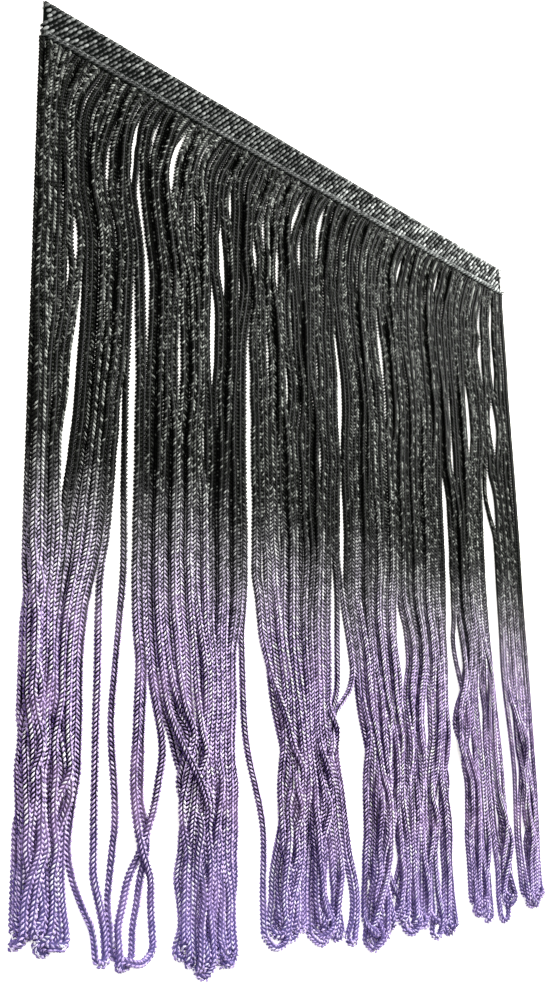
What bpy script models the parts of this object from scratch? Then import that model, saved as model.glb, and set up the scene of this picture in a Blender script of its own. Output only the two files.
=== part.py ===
# Loop fringe trim: a flat ribbed heading tape and a row of long looped yarns that hang from its edge.
# The trim lies face up on a level surface. X runs along the tape, Y across it with the loops towards -Y,
# and +Z is up. The origin is on the surface under the middle of the tape.
import math

import bmesh
import bpy
import numpy as np

MM = 0.001

# Driving sizes, in millimetres
TRIM_LONG = 230.5
HEADING_WIDE = 12.0
EDGE_WIDE = 1.3
EDGE_THICK = 2.6
PIECE_GAP = 0.3
TAPE_THICK = 2.3
RIB_HIGH = 0.5
RIB_PITCH = 1.8
RIB_LEAN = 9.0
LOOPS = 64
YARN_WIDE = 2.2
YARN_FLAT = 0.65
YARN_GAP = 0.2
ROOT_THICK = 1.2
ROOT_HEIGHT = 1.3
ROOT_INSIDE = 0.8

LEGS = 2 * LOOPS
LEG_PITCH = TRIM_LONG / LEGS
YARN_RADIUS = YARN_WIDE / 2
FIRST_EDGE = HEADING_WIDE / 2

# A drop is a distance down from the tape's upper edge. The legs leave the tape on a slant and
# have come round to run straight down at this drop.
STRAIGHT_FROM = 46.0
LEG_DROPS = (22.0, 36.0, 64.0, 98.0, 132.0, 166.0, 198.0, 226.0)
TURN_STEPS = 3
TABLE_STEP = 2.0
TABLE_END = 256.0
SEED = 7

# leg number, its place along the tape where it hangs straight
HOME = ((0, 1.1), (9, 12.6), (20, 27.5), (115, 198.5), (127, 229.2))

# The widths in the table are between the crests of the yarns. At the surface a parting is this much wider,
# all of it once its width in the table is PARTING_OPENS.
PARTING_EXTRA = 1.0
PARTING_OPENS = 1.5

# leg at the left of the parting, rows of (drop, middle of the parting, its width)
PARTINGS = (
    (9, ((58, 16.5, 0.0), (75, 16.3, 1.4), (95, 15.0, 2.8), (115, 13.6, 4.0), (130, 12.2, 2.7),
         (148, 10.8, 0.0))),
    (20, ((160, 21.5, 0.0), (180, 21.4, 2.2), (200, 21.3, 2.2), (212, 21.0, 3.3), (222, 19.8, 6.0),
          (235, 18.4, 8.8), (250, 18.0, 10.0))),
    (21, ((104, 30.2, 0.0), (120, 30.3, 1.3), (140, 29.6, 2.7), (160, 28.7, 4.2), (180, 27.9, 3.8),
          (195, 26.9, 2.6), (210, 28.0, 3.9), (225, 27.8, 3.2))),
    (22, ((56, 36.0, 0.0), (75, 36.1, 1.7), (95, 35.6, 2.4), (130, 35.3, 2.1), (155, 35.2, 1.6),
          (172, 35.5, 4.2), (182, 35.2, 4.9), (195, 33.3, 4.6), (210, 33.8, 2.5), (222, 34.9, 4.2))),
    (24, ((176, 41.6, 0.0), (190, 42.0, 2.0), (200, 43.4, 5.2), (208, 42.8, 4.4), (216, 41.8, 2.4))),
    (25, ((202, 49.8, 0.0), (210, 49.4, 2.0), (216, 48.3, 5.4), (224, 48.0, 8.9), (250, 48.0, 8.0))),
    (34, ((170, 57.0, 0.0), (188, 58.8, 3.2), (197, 58.0, 0.0))),
    (49, ((166, 75.6, 0.0), (175, 75.2, 1.5), (190, 75.6, 3.8), (205, 77.1, 5.8), (215, 77.8, 8.8),
          (225, 78.2, 11.6), (235, 77.6, 10.7), (250, 75.8, 6.5))),
    (50, ((66, 82.0, 0.0), (86, 82.8, 3.6), (100, 81.9, 2.2), (125, 81.6, 2.7), (150, 82.0, 4.1),
          (165, 82.4, 5.9), (180, 84.0, 8.1), (190, 85.0, 10.1), (200, 85.3, 8.6), (210, 86.4, 2.9),
          (222, 87.5, 0.0))),
    (56, ((126, 94.0, 0.0), (135, 94.4, 2.8), (146, 94.4, 2.0), (158, 94.0, 0.0))),
    (61, ((128, 102.0, 0.0), (136, 103.0, 2.0), (153, 102.3, 0.0))),
    (71, ((132, 118.3, 0.0), (145, 118.4, 2.4), (160, 117.9, 2.7), (172, 117.4, 2.4),
          (182, 117.2, 4.0), (190, 115.9, 3.0), (198, 114.2, 0.0))),
    (72, ((158, 121.8, 0.0), (166, 123.4, 2.8), (178, 123.3, 3.9), (184, 122.0, 0.0))),
    (73, ((52, 123.9, 0.0), (62, 124.0, 1.8), (86, 125.7, 4.6), (95, 124.8, 1.6), (115, 124.7, 1.5),
          (132, 124.1, 2.9), (148, 123.9, 0.0), (166, 128.4, 0.0), (178, 128.6, 0.0),
          (190, 126.3, 7.5), (200, 125.5, 8.0), (220, 125.9, 5.8), (230, 125.5, 3.0),
          (243, 126.0, 0.0))),
    (89, ((144, 151.5, 0.0), (152, 152.5, 3.0), (160, 154.0, 6.4), (166, 153.7, 4.2),
          (176, 151.8, 0.0))),
    (101, ((192, 170.5, 0.0), (204, 169.9, 1.8), (236, 169.8, 1.6), (246, 170.0, 0.0))),
    (105, ((82, 182.0, 0.0), (100, 182.4, 3.3), (115, 183.0, 4.0), (135, 182.0, 3.6),
           (150, 180.8, 4.8), (160, 181.3, 5.8), (175, 180.2, 4.4), (183, 178.9, 3.4),
           (192, 178.6, 6.4), (200, 179.7, 11.0), (230, 177.6, 10.0), (250, 179.5, 13.0))),
    (113, ((164, 197.0, 0.0), (172, 197.6, 3.2), (183, 197.3, 2.6), (197, 197.5, 0.0),
           (214, 197.0, 0.0), (236, 198.3, 3.4), (250, 198.5, 3.0))),
    (119, ((86, 207.8, 0.0), (104, 208.8, 3.6), (114, 209.5, 6.9), (130, 209.0, 6.6),
           (150, 209.7, 5.5), (165, 210.0, 3.1), (182, 211.2, 4.0), (198, 212.4, 5.2),
           (224, 211.7, 3.1), (250, 214.5, 3.0))),
)

# leg that crosses its neighbours, first drop, last drop, places that it moves along the row
CROSSINGS = (
    (1, 180, 225, 6), (3, 185, 220, 5), (8, 190, 230, -5), (14, 190, 235, 4), (17, 200, 240, -6),
    (26, 183, 232, 10), (27, 185, 228, 11), (28, 180, 220, 9), (29, 178, 215, 7), (31, 190, 225, -3),
    (33, 190, 235, -5), (35, 195, 235, -6), (43, 200, 238, -5),
    (51, 178, 215, 7), (52, 180, 222, 6), (58, 190, 230, -5), (62, 200, 240, 4), (66, 195, 235, -4),
    (69, 190, 206, 1), (70, 188, 206, 2), (71, 186, 204, 2), (72, 182, 206, -7), (73, 176, 210, -8),
    (74, 178, 225, 6), (77, 182, 222, 5), (84, 170, 215, -5), (89, 160, 210, -6), (92, 172, 226, -5),
    (96, 185, 232, -6), (101, 190, 235, -4),
    (106, 150, 200, 3), (110, 165, 205, -4), (114, 140, 185, 3), (118, 150, 178, -3), (116, 200, 238, 3),
    (121, 165, 200, 3), (124, 180, 220, -3), (126, 190, 240, -4), (122, 210, 244, 4),
)

# leg, rows of (drop, place along the tape) for the few that go their own way at the foot
STRAYS = {
    20: ((218, 15.0), (228, 16.2), (236, 19.6), (246, 25.6)),
    21: ((222, 24.4), (232, 24.6), (246, 29.0)),
    22: ((222, 31.0), (230, 29.9), (238, 29.2), (248, 30.2)),
    23: ((212, 37.2), (222, 38.8), (228, 41.0), (234, 42.8), (248, 44.2)),
    24: ((212, 39.6), (224, 40.4), (232, 40.0), (245, 37.2)),
    25: ((200, 47.4), (210, 45.4), (218, 42.6), (226, 39.2), (232, 35.8), (245, 32.0)),
}

# place along the tape, drop of the longest loops there
FEET = (
    (0, 246), (4, 243), (10, 248.5), (16, 247), (27, 251.5), (36, 252.5), (46, 251), (54, 251),
    (61, 255.5), (72, 253), (80, 251), (92, 251.5), (98, 248), (104, 247), (112, 252), (120, 250),
    (129, 254), (140, 249), (150, 251), (157, 247), (165, 250.5), (174, 248), (184, 239),
    (190, 245.5), (197, 246), (205, 247), (212, 240), (218, 241), (226, 244), (231, 249),
)

# The foot of a loop, in millimetres
SHORTEST_BY = 6.0
EYE_LEAST = 3.0
EYE_MOST = 4.6
EYE_LIMIT = 6.5
TWISTED_SHARE = 0.2
TURN_DEEP_LEAST = 1.5
TURN_DEEP_MOST = 4.0
CLOSING_RUN = 22.0
KNOT_CLEAR = 4.0
STRAY_BLEND = 20.0

# How the yarns settle on each other under their own weight
SETTLE_ROUNDS = 400
PART_ROUNDS = 220
NEAR_EVERY = 12
NEAR_REACH = 1.2
PILE_MOST = 7.4
SINK = 0.15
HOLD = 0.06
LEVEL_OUT = 0.05
LAYER_ORDER = (0.0, 2.0, 1.0, 3.0)
LAYER_JITTER = 1.5


def ease(t):
    """Smooth rise from 0 to 1."""
    t = np.clip(t, 0.0, 1.0)
    return t * t * (3.0 - 2.0 * t)


def soften(table, times):
    """Takes the corners off each column of a table."""
    for _ in range(times):
        table[1:-1] = 0.25 * table[:-2] + 0.5 * table[1:-1] + 0.25 * table[2:]
    return table


def home_places():
    """Place of each leg along the tape where it hangs straight, before any parting."""
    legs, places = zip(*HOME)
    return np.interp(np.arange(LEGS), legs, places)


def places_at(drop):
    """Place of each leg along the tape at one drop."""
    home = home_places()
    shifts = {0: 0.0, LEGS - 1: 0.0}
    for leg, rows in PARTINGS:
        drops, middles, widths = zip(*rows)
        if not drops[0] <= drop <= drops[-1]:
            continue
        middle = np.interp(drop, drops, middles)
        width = np.interp(drop, drops, widths)
        aside = (width + PARTING_EXTRA * ease(width / PARTING_OPENS)) / 2 + YARN_RADIUS
        shifts[leg] = middle - aside - home[leg]
        shifts[leg + 1] = middle + aside - home[leg + 1]
    rank = np.arange(LEGS, dtype=float)
    for leg, first, last, moves in CROSSINGS:
        rank[leg] += moves * ease((drop - first) / (last - first))
    parted = sorted(shifts)
    shift = np.interp(rank, parted, [shifts[leg] for leg in parted])
    return np.interp(rank, np.arange(LEGS), home) + shift


def wander(rng, drops):
    """Small sideways waves of each leg, which grow towards the foot."""
    wave_long = 26.0
    sway_long = 83.0
    sway_legs = 31.0
    sway = 0.5
    marks = np.arange(0.0, TABLE_END + 2 * wave_long, wave_long)
    own = rng.uniform(-1.0, 1.0, (len(marks), LEGS))
    table = np.empty((len(drops), LEGS))
    for leg in range(LEGS):
        table[:, leg] = np.interp(drops, marks, own[:, leg])
    soften(table, 10)
    turns = drops[:, None] / sway_long + np.arange(LEGS)[None, :] / sway_legs
    grow = 0.15 + 0.75 * ease((drops - 60.0) / 170.0)
    return (table + sway * np.sin(2 * math.pi * turns)) * grow[:, None]


def leg_table(rng):
    """Drops, and the place of each leg along the tape at each of them."""
    drops = np.arange(STRAIGHT_FROM - 6.0, TABLE_END + TABLE_STEP, TABLE_STEP)
    table = soften(np.array([places_at(drop) for drop in drops]), 12)
    return drops, table + wander(rng, drops)


def leg_place(leg, drop, drops, table):
    """Place of a leg along the tape at a drop: slanted at first, then straight down."""
    root = (leg + 0.5) * LEG_PITCH
    if drop < STRAIGHT_FROM:
        place = np.interp(STRAIGHT_FROM, drops, table[:, leg])
        t = max(0.0, (drop - HEADING_WIDE) / (STRAIGHT_FROM - HEADING_WIDE))
        return root + (place - root) * (1.0 - (1.0 - t) ** 2)
    place = float(np.interp(drop, drops, table[:, leg]))
    if leg in STRAYS:
        stray_drops, stray_places = zip(*STRAYS[leg])
        if drop >= stray_drops[0]:
            return float(np.interp(drop, stray_drops, stray_places))
        joins = float(np.interp(stray_drops[0], drops, table[:, leg]))
        share = float(ease((drop - stray_drops[0] + STRAY_BLEND) / STRAY_BLEND))
        place += (stray_places[0] - joins) * share
    return place


def foot_of(loop, drops, table, chance):
    """Middle, half width and lowest drop of a loop's turn. The half width is negative if it is twisted."""
    legs = (2 * loop, 2 * loop + 1)
    if legs[0] in STRAYS:
        left, right = (STRAYS[leg][-1][1] for leg in legs)
        middle = (left + right) / 2
        return middle, (right - left) / 2, np.interp(middle, *zip(*FEET))
    near_foot = np.searchsorted(drops, TABLE_END - 8 * TABLE_STEP)
    middle = table[near_foot, legs[0]] / 2 + table[near_foot, legs[1]] / 2
    lowest = np.interp(middle, *zip(*FEET)) - chance["shorter"][loop]
    left, right = (leg_place(leg, lowest - 8.0, drops, table) for leg in legs)
    half = min(max(abs(right - left), chance["eye"][loop]), EYE_LIMIT) / 2
    crossed = right < left
    if crossed != bool(chance["twist"][loop] < TWISTED_SHARE):
        half = -half
    return (left + right) / 2, half, lowest


def loop_routes():
    """Route of each loop, down one leg, round its foot and up the other, as rows of (place, drop)."""
    rng = np.random.default_rng(SEED)
    drops, table = leg_table(rng)
    chance = {
        "shorter": SHORTEST_BY * rng.uniform(0.0, 1.0, LOOPS) ** 1.6,
        "eye": rng.uniform(EYE_LEAST, EYE_MOST, LOOPS),
        "twist": rng.uniform(0.0, 1.0, LOOPS),
    }
    routes = []
    for loop in range(LOOPS):
        middle, half, lowest = foot_of(loop, drops, table, chance)
        deep = min(max(abs(half), TURN_DEEP_LEAST), TURN_DEEP_MOST)
        start = lowest - deep
        sides = []
        for leg, end in ((2 * loop, middle - half), (2 * loop + 1, middle + half)):
            rows = [((leg + 0.5) * LEG_PITCH, HEADING_WIDE - ROOT_INSIDE)]
            for drop in LEG_DROPS:
                if drop > start - KNOT_CLEAR:
                    continue
                place = leg_place(leg, drop, drops, table)
                if leg not in STRAYS:
                    place += (end - place) * float(ease((drop - start + CLOSING_RUN) / CLOSING_RUN))
                rows.append((place, drop))
            sides.append(rows)
        turn = []
        for step in range(TURN_STEPS + 1):
            angle = math.pi * step / TURN_STEPS
            turn.append((middle - half * math.cos(angle), start + deep * math.sin(angle)))
        routes.append(np.array(sides[0] + turn + sides[1][::-1]))
    return routes


def near_pairs(points, starts, radii, reach):
    """Pairs of segments that come near each other, apart from neighbours on one yarn."""
    ends = starts + 1
    spare = radii.max() + reach / 2
    low = np.minimum(points[starts], points[ends]) - spare
    high = np.maximum(points[starts], points[ends]) + spare
    order = np.argsort(low[:, 0], kind="stable")
    low, high = low[order], high[order]
    firsts, seconds = [], []
    for first in range(len(order)):
        others = np.arange(first + 1, np.searchsorted(low[:, 0], high[first, 0]))
        meets = np.all((low[others, 1:] <= high[first, 1:]) & (low[first, 1:] <= high[others, 1:]), axis=1)
        seconds.append(order[others[meets]])
        firsts.append(np.full(len(seconds[-1]), order[first]))
    first, second = np.concatenate(firsts), np.concatenate(seconds)
    apart = np.abs(starts[first] - starts[second]) > 2
    return first[apart], second[apart]


def nearest_fractions(a, b, c, d):
    """How far along segments a-b and c-d their nearest points are."""
    along, across, between = b - a, d - c, a - c
    aa = (along * along).sum(1)
    bb = (along * across).sum(1)
    cc = (across * across).sum(1)
    ab = (along * between).sum(1)
    cb = (across * between).sum(1)
    spread = aa * cc - bb * bb
    even = spread <= 1e-9 * aa * cc
    s = np.where(even, 0.5, np.clip((bb * cb - ab * cc) / np.where(even, 1.0, spread), 0.0, 1.0))
    t = (bb * s + cb) / cc
    s = np.where(t < 0.0, np.clip(-ab / aa, 0.0, 1.0), s)
    s = np.where(t > 1.0, np.clip((bb - ab) / aa, 0.0, 1.0), s)
    return s, np.clip(t, 0.0, 1.0)


def push_apart(points, starts, radii, held, pairs):
    """Moves each pair of segments that is too close half of what it lacks, up and down where the two cross
    at one height. All stay above the surface and between the ends of the tape."""
    i, j = starts[pairs[0]], starts[pairs[1]]
    s, t = nearest_fractions(points[i], points[i + 1], points[j], points[j + 1])
    here = points[i] + (points[i + 1] - points[i]) * s[:, None]
    there = points[j] + (points[j + 1] - points[j]) * t[:, None]
    away = here - there
    away[:, 2] += 0.001
    distance = np.sqrt((away * away).sum(1))
    room = radii[i] * (1 - s) + radii[i + 1] * s + radii[j] * (1 - t) + radii[j + 1] * t + YARN_GAP
    close = room > distance
    i, j, s, t = i[close], j[close], s[close], t[close]
    push = 0.5 * ((room - distance) / distance)[close, None] * away[close]
    even_s = 1.0 / ((1 - s) ** 2 + s ** 2)
    even_t = 1.0 / ((1 - t) ** 2 + t ** 2)
    move = np.zeros_like(points)
    count = np.zeros(len(points))
    for index, weight in ((i, (1 - s) * even_s), (i + 1, s * even_s),
                          (j, (t - 1) * even_t), (j + 1, -t * even_t)):
        for axis in range(3):
            move[:, axis] += np.bincount(index, push[:, axis] * weight, len(points))
        count += np.bincount(index, (np.abs(weight) > 1e-6).astype(float), len(points))
    share = np.minimum(1.6 / (1.0 + 0.5 * (np.maximum(count, 1.0) - 1.0)), 1.0)
    move[held] = 0.0
    points += move * share[:, None]
    points[:, 0] = np.clip(points[:, 0], radii, TRIM_LONG - radii)
    points[:, 2] = np.clip(points[:, 2], np.where(held, points[:, 2], radii), PILE_MOST)


def settle(routes):
    """Lays the loops down: they sink, lie on the surface and on each other, and keep a small gap."""
    rng = np.random.default_rng(SEED)
    jitter = LAYER_JITTER * rng.uniform(0.0, 1.0, LEGS)
    points, radii, starts, inner = [], [], [], []
    for loop, route in enumerate(routes):
        lowest = int(np.argmax(route[:, 1]))
        for number, (place, drop) in enumerate(route):
            leg = 2 * loop + int(number > lowest)
            root = drop < HEADING_WIDE
            height = ROOT_HEIGHT if root else YARN_RADIUS + LAYER_ORDER[leg % 4] + jitter[leg]
            if 0 < number < len(route) - 1:
                inner.append(len(points))
            if number < len(route) - 1:
                starts.append(len(points))
            points.append((place, -drop, height))
            radii.append(ROOT_THICK / 2 if root else YARN_RADIUS)
    points, radii = np.array(points), np.array(radii)
    starts, inner = np.array(starts), np.array(inner)
    held = radii < YARN_RADIUS
    aim = points.copy()
    for turn in range(SETTLE_ROUNDS + PART_ROUNDS):
        if turn % NEAR_EVERY == 0:
            pairs = near_pairs(points, starts, radii, YARN_GAP + NEAR_REACH)
        if turn < SETTLE_ROUNDS:
            weight = SINK * (1.0 - 0.5 * turn / SETTLE_ROUNDS)
            points[inner, 2] -= weight * (0.4 + points[inner, 2] / 4.0)
            points[inner, :2] += HOLD * (aim[inner, :2] - points[inner, :2])
            level = (points[inner - 1, 2] + points[inner + 1, 2]) / 2
            points[inner, 2] += LEVEL_OUT * (level - points[inner, 2])
            push_apart(points, starts, radii, held, pairs)
        push_apart(points, starts, radii, held, pairs)
    lengths = np.cumsum([len(route) for route in routes])[:-1]
    return np.split(np.column_stack([points, radii]), lengths)


def material(name, colour, roughness):
    """A plain finish of one colour."""
    finish = bpy.data.materials.new(name)
    finish.use_nodes = True
    shader = finish.node_tree.nodes["Principled BSDF"]
    shader.inputs["Base Color"].default_value = (*colour, 1.0)
    shader.inputs["Roughness"].default_value = roughness
    shader.inputs["Metallic"].default_value = 0.0
    finish.diffuse_color = (*colour, 1.0)
    return finish


def new_collection(name):
    """A collection linked to the scene."""
    group = bpy.data.collections.new(name)
    bpy.context.scene.collection.children.link(group)
    return group


def new_object(name, data, group):
    """An object of the given data in a collection."""
    piece = bpy.data.objects.new(name, data)
    group.objects.link(piece)
    return piece


def make_heading_tape(group, finish):
    """The tape: a flat underside and slanting ribs across its face, cut square at both ends."""
    half_long = TRIM_LONG / 2
    wide = HEADING_WIDE - EDGE_WIDE - PIECE_GAP
    upper = FIRST_EDGE
    lower = FIRST_EDGE - wide
    ribs = math.ceil((TRIM_LONG + RIB_LEAN) / RIB_PITCH) + 2
    bm = bmesh.new()
    bmesh.ops.create_grid(bm, x_segments=2 * ribs, y_segments=1, size=0.5)
    for vert in bm.verts:
        number = round((vert.co.x + 0.5) * 2 * ribs)
        slant = vert.co.y * RIB_LEAN
        vert.co.x = (number / 2 - ribs / 2) * RIB_PITCH + slant
        vert.co.y = upper if vert.co.y > 0 else lower
        vert.co.z = TAPE_THICK - RIB_HIGH * (number % 2)
    for side in (-1, 1):
        bmesh.ops.bisect_plane(bm, geom=bm.verts[:] + bm.edges[:] + bm.faces[:], dist=1e-6,
                               plane_co=(side * half_long, 0, 0), plane_no=(side, 0, 0), clear_outer=True)
    corners = {}
    for x in (-half_long, half_long):
        for y in (lower, upper):
            corners[x, y] = bm.verts.new((x, y, 0.0))
    tops = [vert for vert in bm.verts if vert.co.z > 0]
    for y in (lower, upper):
        edge = sorted((v for v in tops if abs(v.co.y - y) < 1e-4), key=lambda v: v.co.x)
        bm.faces.new(edge + [corners[half_long, y], corners[-half_long, y]])
    for x in (-half_long, half_long):
        edge = sorted((v for v in tops if abs(v.co.x - x) < 1e-4), key=lambda v: v.co.y)
        bm.faces.new(edge + [corners[x, upper], corners[x, lower]])
    bm.faces.new([corners[-half_long, lower], corners[half_long, lower],
                  corners[half_long, upper], corners[-half_long, upper]])
    bmesh.ops.recalc_face_normals(bm, faces=bm.faces)
    bmesh.ops.scale(bm, vec=(MM, MM, MM), verts=bm.verts)
    mesh = bpy.data.meshes.new("heading_tape")
    bm.to_mesh(mesh)
    bm.free()
    mesh.materials.append(finish)
    return new_object("heading_tape", mesh, group)


def make_loops(group):
    """All loops as four-sided yarns along their settled routes, pressed flatter by their own weight."""
    curve = bpy.data.curves.new("loops", "CURVE")
    curve.dimensions = "3D"
    curve.bevel_depth = YARN_RADIUS * MM
    curve.bevel_resolution = 0
    curve.use_fill_caps = True
    curve.twist_mode = "Z_UP"
    for route in settle(loop_routes()):
        spline = curve.splines.new("POLY")
        spline.points.add(len(route) - 1)
        for knot, (place, down, height, radius) in zip(spline.points, route):
            knot.co = ((place - TRIM_LONG / 2) * MM, (FIRST_EDGE + down) * MM, height * MM, 1.0)
            knot.radius = radius / YARN_RADIUS
    guide = new_object("loops_guide", curve, group)
    bpy.context.view_layer.update()
    evaluated = guide.evaluated_get(bpy.context.evaluated_depsgraph_get())
    mesh = bpy.data.meshes.new_from_object(evaluated)
    bpy.data.objects.remove(guide)
    bm = bmesh.new()
    bm.from_mesh(mesh)
    bmesh.ops.remove_doubles(bm, verts=bm.verts, dist=1e-6)
    bmesh.ops.recalc_face_normals(bm, faces=bm.faces)
    bmesh.ops.scale(bm, vec=(1.0, 1.0, YARN_FLAT), verts=bm.verts)
    bm.to_mesh(mesh)
    bm.free()
    loops = new_object("loops", mesh, group)
    loops.hide_render = True
    loops.display_type = "WIRE"
    return loops


def make_loop_fringe(group, helpers, finish):
    """The tape's lower edge, a narrow strip in which every yarn is rooted, joined to the loops."""
    bpy.ops.mesh.primitive_cube_add(size=1.0)
    strip = bpy.context.object
    strip.name = "loop_fringe"
    strip.data.name = "loop_fringe"
    for collection in list(strip.users_collection):
        collection.objects.unlink(strip)
    group.objects.link(strip)
    middle = FIRST_EDGE - HEADING_WIDE + EDGE_WIDE / 2
    for vert in strip.data.vertices:
        vert.co.x *= TRIM_LONG * MM
        vert.co.y = (vert.co.y * EDGE_WIDE + middle) * MM
        vert.co.z = (vert.co.z + 0.5) * EDGE_THICK * MM
    strip.data.materials.append(finish)
    join = strip.modifiers.new("join", "BOOLEAN")
    join.operation = "UNION"
    join.object = make_loops(helpers)
    return strip


def main():
    for old in list(bpy.data.objects):
        bpy.data.objects.remove(old)
    part = new_collection("loop_fringe_trim")
    helpers = new_collection("helpers")
    black = material("black_braid", (0.012, 0.013, 0.011), 0.6)
    violet = material("dipped_yarn", (0.20, 0.13, 0.38), 0.55)
    make_heading_tape(part, black)
    make_loop_fringe(part, helpers, violet)


main()
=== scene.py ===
"""Looks of the loop fringe trim: a braided heading tape and a row of long looped chainette yarns, dip-dyed
from black to violet. The trim lies face up on a pale surface. X runs along the tape, Y across it with the
loops towards -Y, and +Z is up. Layout sizes are in millimetres, and meshes are in metres."""
import math
from functools import partial

import bmesh
import bpy
import numpy as np
from bpy.props import FloatProperty, FloatVectorProperty, IntProperty, PointerProperty
from mathutils import Matrix, Quaternion, Vector


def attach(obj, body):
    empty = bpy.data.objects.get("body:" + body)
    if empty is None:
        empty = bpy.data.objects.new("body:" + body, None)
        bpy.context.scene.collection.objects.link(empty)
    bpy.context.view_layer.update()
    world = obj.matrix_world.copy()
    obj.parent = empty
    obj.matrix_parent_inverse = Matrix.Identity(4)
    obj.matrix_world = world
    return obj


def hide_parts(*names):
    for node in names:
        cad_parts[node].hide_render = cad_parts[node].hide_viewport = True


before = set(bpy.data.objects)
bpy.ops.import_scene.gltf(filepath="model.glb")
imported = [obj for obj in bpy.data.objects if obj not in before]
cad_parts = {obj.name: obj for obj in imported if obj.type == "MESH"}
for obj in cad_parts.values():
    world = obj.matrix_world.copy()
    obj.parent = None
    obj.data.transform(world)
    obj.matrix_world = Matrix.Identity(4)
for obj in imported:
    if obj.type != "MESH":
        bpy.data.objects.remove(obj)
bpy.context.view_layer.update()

bl_info = {
    "name": "Loop Fringe Trim",
    "version": (1, 0, 0),
    "blender": (4, 5, 0),
    "location": "3D View > Sidebar > Fringe",
    "description": "Makes a dip-dyed loop fringe on a braided heading tape",
    "category": "Object",
}

MM = 0.001

# Driving sizes of the trim, in millimetres
TRIM_LONG = 230.5
HEADING_WIDE = 12.0
LOOPS = 64
YARN_WIDE = 2.2
YARN_FLAT = 0.65
YARN_GAP = -0.35
YARN_DRAWN = 2.5
YARN_LIFT = 0.2
ROOT_THICK = 1.2
ROOT_HEIGHT = 1.3
ROOT_INSIDE = 0.8

LEGS = 2 * LOOPS
LEG_PITCH = TRIM_LONG / LEGS
YARN_RADIUS = YARN_WIDE / 2
FIRST_EDGE = HEADING_WIDE / 2

# A drop is a distance down from the tape's upper edge. The legs leave the tape on a slant and
# have come round to run straight down at this drop.
STRAIGHT_FROM = 46.0
KNOT_STEP_SLANTED = 4.0
KNOT_STEP_STRAIGHT = 6.0
TURN_STEPS = 7
TABLE_STEP = 2.0
TABLE_END = 256.0
TABLE_SPARE = 6.0
TABLE_ROUNDED = 12
SLANT_POWER = 3
SEED = 7

# leg number, its place along the tape where it hangs straight
HOME = ((0, 1.1), (6, 4.2), (11, 12.0), (20, 27.5), (115, 198.5), (127, 229.2))

# The widths in the table are between the crests of the yarns. At the surface a parting is this much wider,
# all of it once its width in the table is PARTING_OPENS.
PARTING_EXTRA = 1.0
PARTING_OPENS = 1.5

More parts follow.
